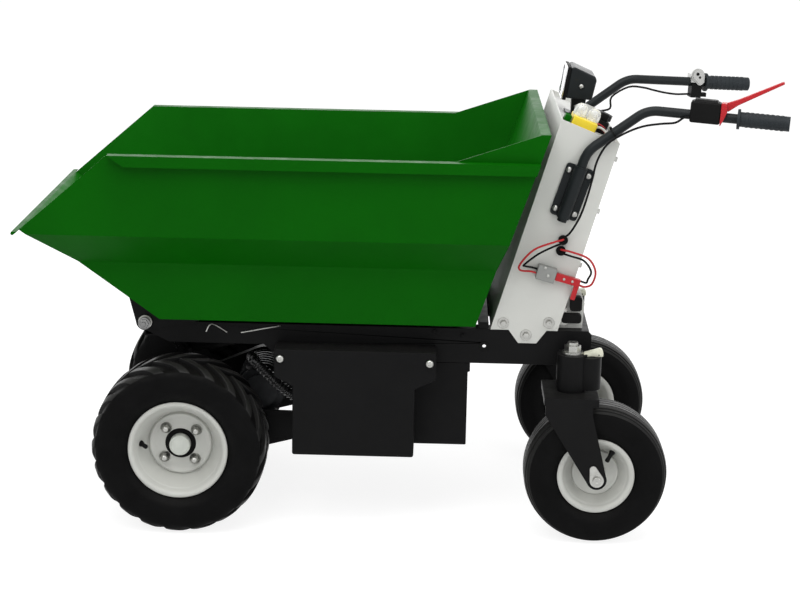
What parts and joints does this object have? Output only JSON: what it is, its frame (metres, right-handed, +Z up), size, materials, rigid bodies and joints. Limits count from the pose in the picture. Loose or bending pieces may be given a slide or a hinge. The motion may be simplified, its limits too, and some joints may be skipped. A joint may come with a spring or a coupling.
{
  "type": "site dumper",
  "caption": "Walk-behind battery site dumper: hydraulically tipped sheet-steel skip on a rail chassis with driven front wheels, swivelling rear casters, control console and handlebars.",
  "frame": {"origin": "on the ground under the middle of the overall length and width", "axes": "+X forward, the way the skip tips; +Y to the machine's left; +Z up"},
  "size_m": [1.7201, 0.752, 1.0801],
  "materials": {
    "black_paint": "semi-gloss black paint",
    "black_powder_coat": "satin black powder coat",
    "motor_casing": "ribbed cast casing, dark",
    "black_plastic": "moulded black",
    "cable_black": "cable sheath",
    "cable_red": "cable sheath",
    "white_paint": "warm off-white powder coat",
    "grey_paint": "light grey powder coat",
    "red_plastic": "moulded red",
    "silver_plastic": "silver moulding",
    "clear_glass": "clear",
    "yellow_plastic": "moulded yellow",
    "grey_plastic": "moulded grey",
    "cream_paint": "cream paint",
    "green_paint": "gloss deep green paint",
    "zinc_steel": "zinc plate",
    "chrome_rod": "hard chrome",
    "tyre_rubber": "tyre rubber",
    "rim_paint": "light grey paint"
  },
  "bodies": {
    "chassis": {"rail_left": "black_paint", "rail_right": "black_paint", "front_crossmember": "black_paint", "rear_crossmember": "black_paint", "axle_housing": "black_paint", "drive_motor": "motor_casing", "battery_case": "black_powder_coat", "battery_cover_left": "black_powder_coat", "battery_cover_right": "black_powder_coat", "rest_pads": "black_plastic", "rest_bar": "black_paint", "console_shell": "white_paint", "console_rear_cover": "white_paint", "console_top": "grey_paint", "charge_bracket": "white_paint", "charge_socket": "black_plastic", "handle_clamps": "black_powder_coat", "handlebar_left": "black_powder_coat", "handlebar_right": "black_powder_coat", "grips": "black_plastic", "run_lever_housing": "black_plastic", "run_lever": "red_plastic", "speed_selector": "silver_plastic", "tip_switch": "black_plastic", "lamp_housing": "black_powder_coat", "lamp_lens": "clear_glass", "lamp_bracket": "black_powder_coat", "switch_box": "yellow_plastic", "switch_caps": "clear_glass", "stop_button": "black_plastic", "grommets": "black_plastic", "power_connector": "grey_plastic", "connector_handle": "red_plastic", "red_leads": "cable_red", "black_leads": "cable_black", "control_cables": "cable_black", "caster_housings": "black_paint", "caster_locks": "cream_paint"},
    "skip": {"skip_floor": "green_paint", "skip_side_left": "green_paint", "skip_side_right": "green_paint", "skip_back": "green_paint", "skip_underframe": "black_paint", "skip_pivot_pins": "zinc_steel"},
    "ram_barrel": {"ram_barrel": "black_paint"},
    "ram_rod": {"ram_rod": "chrome_rod"},
    "front_wheel_left": {"front_tyre_left": "tyre_rubber", "front_rim_left": "rim_paint"},
    "front_wheel_right": {"front_tyre_right": "tyre_rubber", "front_rim_right": "rim_paint"},
    "caster_left": {"caster_fork_left": "black_paint", "caster_axle_left": "zinc_steel"},
    "caster_right": {"caster_fork_right": "black_paint", "caster_axle_right": "zinc_steel"},
    "caster_wheel_left": {"caster_tyre_left": "tyre_rubber", "caster_rim_left": "rim_paint"},
    "caster_wheel_right": {"caster_tyre_right": "tyre_rubber", "caster_rim_right": "rim_paint"}
  },
  "joints": [
    {"name": "skip_tip", "type": "hinge", "parent": "chassis", "child": "skip", "pos_m": [0.582, 0, 0.484], "axis": [0, 1, 0], "range_deg": [0, 75]},
    {"name": "ram_swing", "type": "hinge", "parent": "chassis", "child": "ram_barrel", "pos_m": [0.528, 0, 0.363], "axis": [0, 1, 0], "range_deg": [0, 67.88]},
    {"name": "ram_extend", "type": "slide", "parent": "ram_barrel", "child": "ram_rod", "axis": [-0.9785, 0, 0.206], "range_m": [0, 0.15708]},
    {"name": "front_wheel_left_spin", "type": "hinge", "parent": "chassis", "child": "front_wheel_left", "pos_m": [0.498, 0.267, 0.203], "axis": [0, 1, 0], "continuous": true},
    {"name": "caster_left_swivel", "type": "hinge", "parent": "chassis", "child": "caster_left", "pos_m": [-0.403, 0.282, 0.36], "axis": [0, 0, 1], "continuous": true},
    {"name": "caster_left_spin", "type": "hinge", "parent": "caster_left", "child": "caster_wheel_left", "pos_m": [-0.465, 0.282, 0.165], "axis": [0, 1, 0], "continuous": true},
    {"name": "front_wheel_right_spin", "type": "hinge", "parent": "chassis", "child": "front_wheel_right", "pos_m": [0.498, -0.267, 0.203], "axis": [0, 1, 0], "continuous": true},
    {"name": "caster_right_swivel", "type": "hinge", "parent": "chassis", "child": "caster_right", "pos_m": [-0.403, -0.282, 0.36], "axis": [0, 0, 1], "continuous": true},
    {"name": "caster_right_spin", "type": "hinge", "parent": "caster_right", "child": "caster_wheel_right", "pos_m": [-0.465, -0.282, 0.165], "axis": [0, 1, 0], "continuous": true}
  ],
  "couplings": [
    {"joint": "ram_swing", "follows": "skip_tip", "ratio": 0.905},
    {"joint": "ram_extend", "follows": "skip_tip", "m_per_rad": 0.12}
  ]
}
